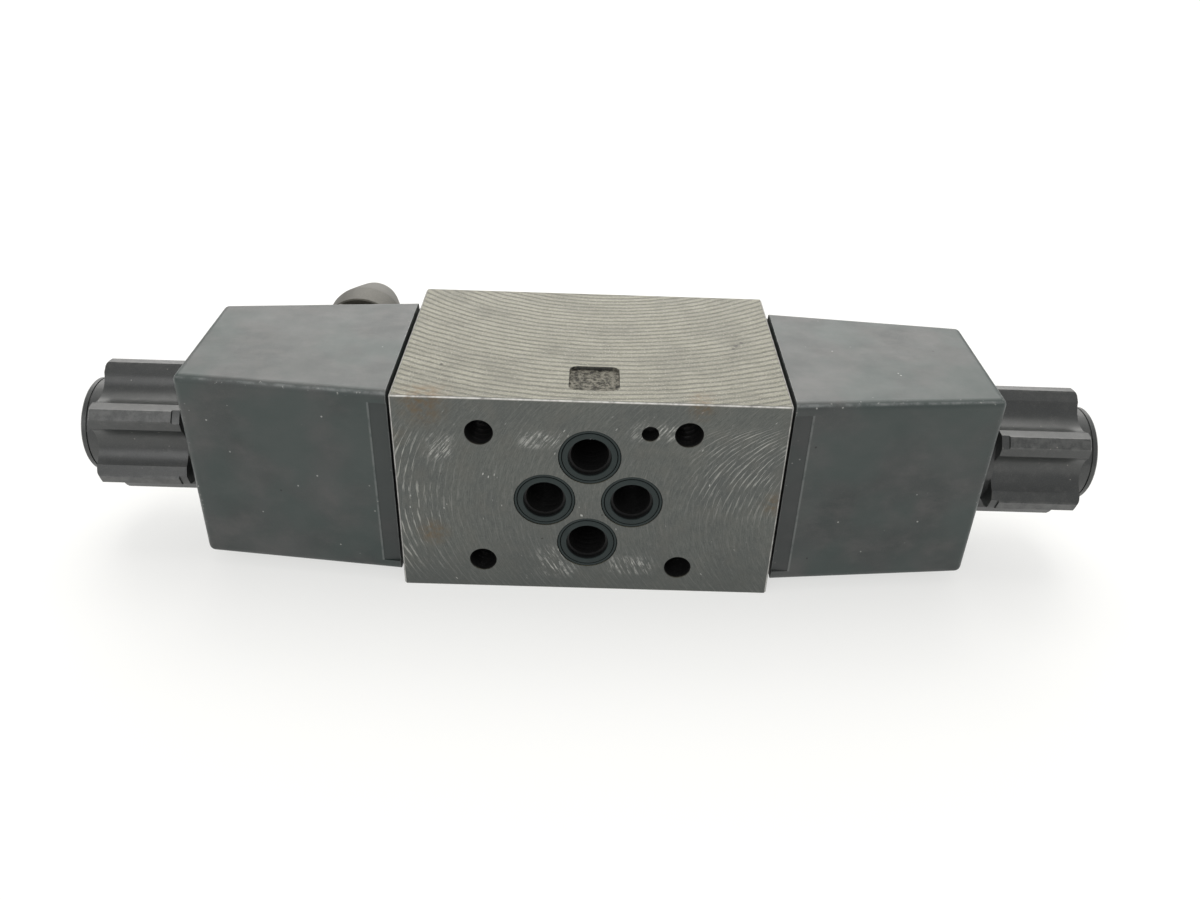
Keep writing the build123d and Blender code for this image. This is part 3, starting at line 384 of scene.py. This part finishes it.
def machined_iron():
    """Cast iron block: fly-cut arcs, grain, worn edges, a few rust stains and a cast pocket."""
    g = Graph("machined_iron")
    half = (BODY_HIGH - BODY_LOW) / 2 / MM
    middle = (BODY_HIGH + BODY_LOW) / 2 / MM
    to_end = g.minus(half.x, g.away(g.x, middle.x))
    to_front = g.minus(half.y, g.away(g.y, middle.y))
    to_top = g.minus(half.z, g.away(g.z, middle.z))
    _, facing_y, facing_z = g.split(g.normal)
    on_top = g.steps(g.away(facing_z), 0.6, 0.9)
    on_front = g.steps(g.away(facing_y), 0.6, 0.9)

    grain = g.noise(0.42, 4.0, 0.7)
    side, side_height = side_skin(g, grain)
    face, face_fine = face_skin(g, grain)
    end = g.mix(g.noise(1.2, 4.0, 0.6), (0.100, 0.102, 0.095), (0.190, 0.186, 0.168))
    colour = g.mix(on_top, end, side)
    colour = g.mix(on_front, colour, face)
    colour = g.mix(face_rust(g), colour, (0.120, 0.078, 0.036))

    # Rough cast floor and walls of the pocket; painted shade, near black, inside the drilled holes.
    in_pocket = pocket_zone(g)
    cast = g.noise(0.9, 5.0, 0.75)
    colour = g.mix(in_pocket, colour, cast_skin(g, cast))
    depth = g.math("MINIMUM", g.math("MINIMUM", to_end, to_front), to_top)
    inside = g.times(g.steps(depth, 0.12, 0.5), g.minus(1.0, in_pocket))
    colour = g.mix(inside, colour, (0.010, 0.010, 0.010))

    # Bright worn edges, broken up by noise, then dark pits and dents.
    worn = g.fade(second_smallest(g, to_end, to_front, to_top), 0.22, 0.38)
    worn = g.times(worn, g.steps(g.noise(2.2, 4.0, 0.7), 0.30, 0.62, 0.25, 0.95))
    colour = g.mix(worn, colour, (0.62, 0.61, 0.58))
    pits = g.times(specks(g, 6.0, 0.055), g.steps(g.noise(15.0), 0.48, 0.6))
    colour = g.mix(g.times(pits, 0.85), colour, (0.030, 0.028, 0.024))
    colour = g.mix(side_dents(g, on_top), colour, (0.020, 0.018, 0.014))

    rough = g.add(0.42, g.times(g.noise(2.0, 4.0, 0.7), 0.26))
    rough = g.mix(in_pocket, rough, (0.85, 0.85, 0.85))
    height = g.add(g.times(side_height, on_top), g.times(g.times(face_fine, 0.3), on_front))
    normal = g.bump(height, 0.055, 0.8)
    normal = g.bump(grain, 0.06, 0.7, normal)
    normal = g.bump(g.times(cast, in_pocket), 0.6, 1.0, normal)
    return g.finish(colour, rough, normal, metallic=0.35)


def moulded_coil():
    """Black resin of the coils: satin, finely grained, greyed by handling, pale on its edges."""
    g = Graph("moulded_coil")
    inner = COIL_LOW.x / MM
    outer = COIL_HIGH.x / MM
    axis_y = AXIS_Y / MM
    axis_z = AXIS_Z / MM
    distance = g.away(g.x)
    from_block = g.minus(distance, inner)
    half_depth = g.minus(COIL_HALF_DEPTH, g.times(from_block, COIL_TAPER))
    to_end = g.math("MINIMUM", g.minus(outer, distance), g.add(from_block, 0.6))
    to_front = g.minus(half_depth, g.away(g.y, axis_y))
    to_top = g.minus(COIL_HALF_HEIGHT, g.away(g.z, axis_z))
    to_edge = second_smallest(g, to_end, to_front, to_top)

    clouds = g.noise(22.0, 3.0)
    smears = g.noise(5.0, 4.0, 0.65, g.joined(g.times(g.x, 0.6), g.y, g.z))
    grain = g.noise(0.16, 3.0, 0.7)
    colour = g.mix(g.steps(clouds, 0.3, 0.7), (0.014, 0.019, 0.018), (0.038, 0.043, 0.041))
    colour = g.mix(g.steps(smears, 0.40, 0.72, 0.0, 0.6), colour, (0.056, 0.054, 0.052))
    colour = g.mix(g.steps(grain, 0.45, 0.8, 0.0, 0.35), colour, (0.080, 0.083, 0.081))
    tint = g.steps(g.noise(16.0, 2.0), 0.42, 0.62, 0.0, 0.6)
    colour = g.mix(tint, colour, (0.020, 0.036, 0.032))

    # Painted shade: the sunken strip beside the block is darker; a painted highlight runs along its
    # lip, broken up by noise.
    on_strip_front = g.fade(g.y, *STRIP_FRONT)
    strip_shade = g.times(g.fade(from_block, STRIP_WIDTH, STRIP_WIDTH + 0.15), on_strip_front)
    strip_shade = g.times(strip_shade, g.within(g.z, axis_z, STRIP_HALF_HEIGHT, 0.1))
    colour = g.mix(g.times(strip_shade, 0.6), colour, (0.011, 0.013, 0.013))
    # Painted highlight along the lip of the strip.
    lip_highlight = g.times(g.fade(g.away(from_block, LIP_FROM_BLOCK), 0.12, 0.30), on_strip_front)
    lip_highlight = g.times(lip_highlight, g.within(g.z, axis_z, STRIP_HALF_HEIGHT + 0.1, 0.1))
    lip_highlight = g.times(lip_highlight, g.steps(g.noise(2.4, 3.0, 0.6), 0.3, 0.6, 0.05, 0.45))
    colour = g.mix(lip_highlight, colour, (0.15, 0.16, 0.155))

    # Pale worn edges with bright nicks, a little dust and a few pits.
    worn = g.fade(to_edge, 0.45, 0.85)
    broken = g.steps(g.noise(3.2, 4.0, 0.7), 0.36, 0.64, 0.12, 0.85)
    colour = g.mix(g.times(worn, broken), colour, (0.14, 0.15, 0.147))
    nicks = g.times(g.fade(to_edge, 0.5, 1.5), g.steps(g.noise(0.8, 3.0, 0.6), 0.66, 0.72))
    colour = g.mix(g.times(nicks, 0.8), colour, (0.38, 0.38, 0.36))
    dust = g.times(specks(g, 3.1, 0.075), g.steps(g.noise(9.0, 2.0), 0.5, 0.62))
    colour = g.mix(g.times(dust, 0.55), colour, (0.40, 0.40, 0.38))
    pits = g.times(specks(g, 7.0, 0.042), g.steps(g.noise(13.0, 2.0), 0.46, 0.56))
    colour = g.mix(g.times(pits, 0.9), colour, (0.006, 0.006, 0.006))
    rough = g.add(0.36, g.times(g.noise(7.0, 5.0, 0.65), 0.26))
    normal = g.bump(grain, 0.012, 0.55)
    normal = g.bump(g.noise(12.0, 2.0), 0.09, 0.5, normal)
    return g.finish(colour, rough, normal, specular=0.55)


def moulded_nut():
    """Black plastic of the hand nuts: dusty in the flutes, greyer along the ridges."""
    g = Graph("moulded_nut")
    across = g.minus(g.y, AXIS_Y / MM)
    above = g.minus(g.z, AXIS_Z / MM)
    radius = g.length(across, above)
    grain = g.noise(0.2, 3.0, 0.7)
    smears = g.noise(3.5, 4.0, 0.7, g.joined(g.times(g.x, 0.35), g.y, g.z))
    colour = g.mix(smears, (0.006, 0.008, 0.008), (0.020, 0.022, 0.021))
    colour = g.mix(g.steps(grain, 0.4, 0.75, 0.0, 0.35), colour, (0.070, 0.069, 0.066))
    ridge = g.times(g.steps(radius, *NUT_RIDGE), g.steps(g.noise(2.0, 4.0, 0.7), 0.35, 0.65))
    colour = g.mix(g.times(ridge, 0.35), colour, (0.13, 0.13, 0.125))
    dust = g.times(specks(g, 1.6, 0.10), g.steps(g.noise(4.0, 2.0), 0.5, 0.62))
    colour = g.mix(g.times(dust, 0.5), colour, (0.33, 0.31, 0.28))
    film = g.steps(g.noise(2.6, 5.0, 0.7), 0.5, 0.78, 0.0, 0.3)
    colour = g.mix(film, colour, (0.085, 0.082, 0.076))
    rough = g.add(0.27, g.times(g.noise(1.8, 4.0, 0.6), 0.18))
    normal = g.bump(grain, 0.014, 0.5)
    normal = g.bump(g.noise(5.0, 2.0), 0.05, 0.5, normal)
    return g.finish(colour, rough, normal, specular=0.75)


def seal_rubber(name, shaded_depth=1000.0):
    """Dull nitrile rubber with patches, nearly black further than shaded_depth behind Y = 0."""
    g = Graph(name)
    fine = g.noise(0.12, 3.0, 0.6)
    colour = g.mix(g.noise(1.8, 3.0), (0.006, 0.012, 0.012), (0.014, 0.023, 0.022))
    colour = g.mix(g.steps(fine, 0.5, 0.8, 0.0, 0.4), colour, (0.036, 0.048, 0.046))
    colour = g.mix(g.steps(g.y, shaded_depth, shaded_depth + 0.15), colour, (0.004, 0.005, 0.005))
    rough = g.add(0.50, g.times(g.noise(0.9, 3.0), 0.2))
    return g.finish(colour, rough, g.bump(fine, 0.01, 0.5), specular=0.35)


def die_cast():
    """Zinc die casting, dull grey-brown, with a mottled skin."""
    g = Graph("die_cast")
    skin = g.noise(0.45, 5.0, 0.75)
    clouds = g.noise(6.0, 3.0)
    colour = g.mix(clouds, (0.034, 0.032, 0.025), (0.060, 0.056, 0.045))
    colour = g.mix(g.steps(skin, 0.42, 0.72, 0.0, 0.7), colour, (0.105, 0.100, 0.082))
    dark = g.times(specks(g, 0.9, 0.25), g.steps(g.noise(2.5, 2.0), 0.45, 0.6))
    colour = g.mix(g.times(dark, 0.6), colour, (0.060, 0.055, 0.045))
    rough = g.add(0.46, g.times(skin, 0.2))
    normal = g.bump(skin, 0.04, 0.6)
    return g.finish(colour, rough, normal, metallic=0.3)


def turned_metal(name, dark, light, metallic=1.0, ring=0.16):
    """Metal turned on a lathe about the spool's axis: fine rings across X and faint stains."""
    g = Graph(name)
    rings = g.noise(ring, 2.0, 0.6, g.joined(g.x, g.times(g.y, 0.03), g.times(g.z, 0.03)))
    stains = g.noise(5.0, 4.0, 0.6)
    colour = g.mix(rings, dark, light)
    colour = g.mix(g.steps(stains, 0.5, 0.8, 0.0, 0.3), colour, dark)
    rough = g.add(0.24, g.times(g.noise(2.5, 3.0), 0.2))
    return g.finish(colour, rough, g.bump(rings, 0.01, 0.5), metallic=metallic)


def copper_wire():
    """Enamelled winding: one groove for each turn of wire."""
    g = Graph("copper_wire")
    wire_pitch = 0.5
    turns = g.math("SINE", g.times(g.x, 2 * math.pi / wire_pitch))
    tint = g.noise(1.5, 3.0)
    colour = g.mix(tint, (0.36, 0.12, 0.045), (0.52, 0.21, 0.085))
    # Painted shade: darker in the groove between each pair of turns.
    colour = g.mix(g.steps(turns, -1.0, -0.3, 0.7, 0.0), colour, (0.08, 0.025, 0.01))
    return g.finish(colour, g.add(0.25, g.times(tint, 0.15)), g.bump(turns, 0.1, 0.8), metallic=0.8)


def light_plastic(name, dark, light):
    """Pale moulded plastic of the bobbins and the terminal block."""
    g = Graph(name)
    grain = g.noise(0.25, 3.0, 0.6)
    colour = g.mix(g.noise(7.0, 3.0), dark, light)
    colour = g.mix(g.steps(grain, 0.5, 0.8, 0.0, 0.2), colour, dark)
    return g.finish(colour, g.add(0.42, g.times(grain, 0.15)), g.bump(grain, 0.01, 0.5))


def satin_plate():
    """Blank aluminium plate, brushed along X."""
    g = Graph("satin_plate")
    lines = g.noise(0.1, 3.0, 0.7, g.joined(g.times(g.x, 0.02), g.y, g.z))
    colour = g.mix(lines, (0.42, 0.42, 0.43), (0.62, 0.62, 0.63))
    return g.finish(colour, g.add(0.3, g.times(lines, 0.2)), g.bump(lines, 0.01, 0.6), metallic=1.0)


# ---------------------------------------------------------------- new pieces

SMOOTH_ANGLE = math.radians(35)

# The override pins' return springs.
SPRING_WIRE_RADIUS = 0.25 * MM
SPRING_TURNS = 6


def mesh_piece(name, vertices, faces, material, body):
    """A new smooth-shaded mesh that rides a body."""
    mesh = bpy.data.meshes.new(name)
    mesh.from_pydata(vertices, [], faces)
    mesh.polygons.foreach_set("use_smooth", [True] * len(mesh.polygons))
    mesh.materials.append(material)
    mesh.update()
    mesh.set_sharp_from_angle(angle=SMOOTH_ANGLE)
    piece = bpy.data.objects.new(name, mesh)
    bpy.context.scene.collection.objects.link(piece)
    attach(piece, body)
    return piece


def lathe(name, profile, centre, material, body, segments=96):
    """A closed ring turned about a line along Y from (radius, y) points."""
    count = len(profile)
    vertices = []
    faces = []
    for turn in range(segments):
        angle = 2 * math.pi * turn / segments
        for radius, y in profile:
            x = centre.x + radius * math.cos(angle)
            z = centre.z + radius * math.sin(angle)
            vertices.append((x, y, z))
        following = (turn + 1) % segments
        for step in range(count):
            beside = (step + 1) % count
            faces.append((
                turn * count + step,
                turn * count + beside,
                following * count + beside,
                following * count + step,
            ))
    return mesh_piece(name, vertices, faces, material, body)


def port_ring(node, material):
    """A seal ring pressed nearly flat: a low crown that falls away to its outer edge."""
    low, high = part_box(node)
    centre = (low + high) / 2
    outer = (high.x - low.x) / 2
    floor = high.y
    top = low.y
    inner = outer - 1.87 * MM
    groove = outer - 0.62 * MM
    profile = [
        (inner, top + 0.80 * MM),
        (inner + 0.02 * MM, top + 0.14 * MM),
        (inner + 0.08 * MM, top + 0.03 * MM),
        (inner + 0.18 * MM, top),
        (groove - 0.34 * MM, top + 0.02 * MM),
        (groove - 0.10 * MM, top + 0.09 * MM),
        (groove, top + 0.44 * MM),
        (groove + 0.12 * MM, top + 0.12 * MM),
        (outer - 0.16 * MM, top + 0.06 * MM),
        (outer - 0.05 * MM, top + 0.14 * MM),
        (outer, top + 0.34 * MM),
        (outer, floor - 0.20 * MM),
        (outer - 0.30 * MM, floor),
        (inner + 0.30 * MM, floor),
        (inner, floor - 0.30 * MM),
    ]
    ring = lathe(f"{node}_ring", profile, centre, material, "housing")
    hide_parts(node)


def gland_dome(material):
    """The gland's dome nut, turned smooth: a base that narrows to a rounded mouth."""
    low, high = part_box("gland_nut")
    centre = (low + high) / 2
    base = low.y
    top = high.y
    mouth = 4.4 * MM
    thread = 7.4 * MM
    profile = [
        (thread, base),
        (9.5 * MM, base),
        (9.8 * MM, base + 0.3 * MM),
        (9.8 * MM, top - 13.2 * MM),
        (9.6 * MM, top - 12.1 * MM),
        (8.55 * MM, top - 8.6 * MM),
        (7.25 * MM, top - 4.6 * MM),
        (6.3 * MM, top - 1.7 * MM),
        (6.0 * MM, top - 0.9 * MM),
        (5.6 * MM, top - 0.3 * MM),
        (5.0 * MM, top),
        (mouth, top),
        (mouth, top - 7.1 * MM),
        (thread, top - 7.1 * MM),
    ]
    dome = lathe("gland_dome", profile, centre, material, "housing")
    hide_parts("gland_nut")


def return_spring(side, material):
    """The override pin's return spring, wound from round wire at one fixed length."""
    node = f"override_spring_{side}"
    low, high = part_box(node)
    wire = SPRING_WIRE_RADIUS
    steps_per_turn = 28
    around_wire = 10
    ring_radius = (high.y - low.y) / 2 - wire
    start = low.x + wire
    length = high.x - low.x - 2 * wire
    rings = SPRING_TURNS * steps_per_turn
    vertices = []
    faces = []
    for ring in range(rings + 1):
        angle = 2 * math.pi * ring / steps_per_turn
        outwards = Vector((0, math.cos(angle), math.sin(angle)))
        centre = Vector((start + length * ring / rings, AXIS_Y, AXIS_Z)) + outwards * ring_radius
        for step in range(around_wire):
            turn = 2 * math.pi * step / around_wire
            along = Vector((wire * math.sin(turn), 0, 0))
            vertices.append(centre + outwards * wire * math.cos(turn) + along)
    for ring in range(rings):
        for step in range(around_wire):
            beside = (step + 1) % around_wire
            faces.append((
                ring * around_wire + step,
                (ring + 1) * around_wire + step,
                (ring + 1) * around_wire + beside,
                ring * around_wire + beside,
            ))
    faces.append(tuple(range(around_wire)))
    faces.append(tuple(reversed(range(rings * around_wire, (rings + 1) * around_wire))))
    spring = mesh_piece(f"return_spring_{side}", vertices, faces, material, "housing")
    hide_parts(node)
    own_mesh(spring)


# ---------------------------------------------------------------- dressing the CAD nodes

def dress(material, *names):
    """Give each CAD node the material in place of what it came with."""
    for name in names:
        mesh = nodes[name].data
        mesh.materials.clear()
        mesh.materials.append(material)


def both(*names):
    """The A and B node of each name."""
    return [f"{name}_{side}" for name in names for side in SIDES]


def dress_all():
    """Give every node its material and put the new pieces in the place of theirs."""
    rubber = seal_rubber("seal_rubber")
    port_rubber = seal_rubber("port_rubber", 0.20)
    steel = turned_metal("turned_steel", (0.30, 0.30, 0.30), (0.52, 0.52, 0.52))
    hard = turned_metal("ground_steel", (0.46, 0.46, 0.47), (0.66, 0.66, 0.67), ring=0.08)
    casting = die_cast()
    dress(machined_iron(), "valve_body")
    dress(moulded_coil(), *both("coil_housing"))
    dress(moulded_nut(), *both("lock_nut", "nut_cap"))
    dress(rubber, *both("tube_seal", "override_seal", "coil_seal_inner", "coil_seal_outer"))
    dress(rubber, "cover_gasket", "gland_seal")
    dress(hard, "spool", *both("push_pin", "override_pin", "spring_seat"))
    dress(steel, *both("pole_piece", "guide_tube", "end_plug", "armature", "coil_yoke"))
    spring = turned_metal("spring_wire", (0.16, 0.16, 0.17), (0.30, 0.30, 0.31), ring=0.3)
    dress(spring, *both("centring_spring"))
    for side in SIDES:
        return_spring(side, spring)
    brass = turned_metal("turned_brass", (0.42, 0.28, 0.09), (0.62, 0.46, 0.2))
    dress(brass, *both("pole_ring", "armature_shim"))
    dress(copper_wire(), *both("coil_winding"))
    bobbin = light_plastic("bobbin_plastic", (0.52, 0.48, 0.40), (0.62, 0.58, 0.50))
    dress(bobbin, *both("coil_bobbin"))
    terminal = light_plastic("terminal_plastic", (0.48, 0.48, 0.44), (0.60, 0.60, 0.56))
    dress(terminal, "terminal_block")
    dress(casting, "wiring_box", "box_cover", "gland_body")
    gland_dome(casting)
    screw = turned_metal("plated_screw", (0.36, 0.36, 0.34), (0.58, 0.58, 0.55), ring=0.4)
    dress(screw, "cover_screws", "box_screws", "terminal_screws")
    dress(satin_plate(), "name_plate")
    for port in "ptab":
        port_ring(f"port_seal_{port}", port_rubber)


# ---------------------------------------------------------------- floor, light and camera

FLOOR_HALF_SIZE = 3.0
FLOOR_GLOW = 0.63
WORLD_GLOW = 0.60
WARM_WHITE = (1.0, 0.985, 0.955)


def floor_material():
    """Pale paper that glows a little, so that it stays even round the part."""
    g = Graph("studio_floor")
    tint = g.noise(180.0, 2.0)
    colour = g.mix(tint, (0.250, 0.250, 0.245), (0.270, 0.270, 0.265))
    g.shader.inputs["Emission Color"].default_value = (1.0, 1.0, 0.985, 1)
    g.shader.inputs["Emission Strength"].default_value = FLOOR_GLOW
    return g.finish(colour, g.add(0.7, g.times(tint, 0.1)), specular=0.2)


def build_floor():
    """A flat floor under the block."""
    level = BODY_LOW.z
    corners = [
        (x * FLOOR_HALF_SIZE, y * FLOOR_HALF_SIZE, level)
        for x, y in ((-1, -1), (1, -1), (1, 1), (-1, 1))
    ]
    mesh = bpy.data.meshes.new("floor")
    mesh.from_pydata(corners, [], [(0, 1, 2, 3)])
    mesh.materials.append(floor_material())
    floor = bpy.data.objects.new("floor", mesh)
    bpy.context.scene.collection.objects.link(floor)


def area_light(name, place, target, size, power, colour=(1, 1, 1)):
    """A round lamp that faces its target."""
    light = bpy.data.lights.new(name, "AREA")
    light.shape = "DISK"
    light.size = size
    light.energy = power
    light.color = colour
    lamp = bpy.data.objects.new(name, light)
    lamp.location = place
    lamp.rotation_euler = (Vector(target) - Vector(place)).to_track_quat("-Z", "Y").to_euler()
    bpy.context.scene.collection.objects.link(lamp)


def build_light():
    """Even white surroundings, two warm lamps above and behind, and a weak one in front."""
    world = bpy.data.worlds.new("studio")
    world.use_nodes = True
    background = world.node_tree.nodes["Background"]
    background.inputs["Color"].default_value = (1.0, 1.0, 1.0, 1)
    background.inputs["Strength"].default_value = WORLD_GLOW
    bpy.context.scene.world = world
    middle = (BODY_LOW + BODY_HIGH) / 2
    area_light("overhead", (0.0, 0.30, 0.85), middle, 0.8, 6.0, WARM_WHITE)
    area_light("behind", (0.0, 1.15, 0.75), middle, 1.7, 17.0, WARM_WHITE)
    area_light("front_fill", (-0.2, -0.75, 0.5), middle, 0.7, 2.6)


CAMERA_TARGET = Vector((1.937, 0.0, 12.344)) * MM
CAMERA_AZIMUTH = math.radians(-0.794)
CAMERA_ELEVATION = math.radians(32.611)
CAMERA_ROLL = math.radians(2.147)
CAMERA_DISTANCE = 195.94 * MM
CAMERA_LENS = 30.336
SENSOR_WIDTH = 36.0
NEAREST_SEEN = 0.01
FARTHEST_SEEN = 20.0


def build_camera():
    """The photo's camera, from its target, its two angles, its roll and its distance."""
    flat = math.cos(CAMERA_ELEVATION)
    back = Vector((
        math.sin(CAMERA_AZIMUTH) * flat,
        -math.cos(CAMERA_AZIMUTH) * flat,
        math.sin(CAMERA_ELEVATION),
    ))
    right = Vector((0, 0, 1)).cross(back).normalized()
    up = back.cross(right)
    across = right * math.cos(CAMERA_ROLL) + up * math.sin(CAMERA_ROLL)
    upright = up * math.cos(CAMERA_ROLL) - right * math.sin(CAMERA_ROLL)
    turn = Matrix((across, upright, back)).transposed()
    data = bpy.data.cameras.new("camera")
    data.sensor_width = SENSOR_WIDTH
    data.lens = CAMERA_LENS
    data.clip_start = NEAREST_SEEN
    data.clip_end = FARTHEST_SEEN
    camera = bpy.data.objects.new("camera", data)
    camera.matrix_world = Matrix.Translation(CAMERA_TARGET + back * CAMERA_DISTANCE) @ turn.to_4x4()
    bpy.context.scene.collection.objects.link(camera)
    bpy.context.scene.camera = camera


dress_all()
build_floor()
build_light()
build_camera()
bpy.context.scene.view_settings.view_transform = "Standard"
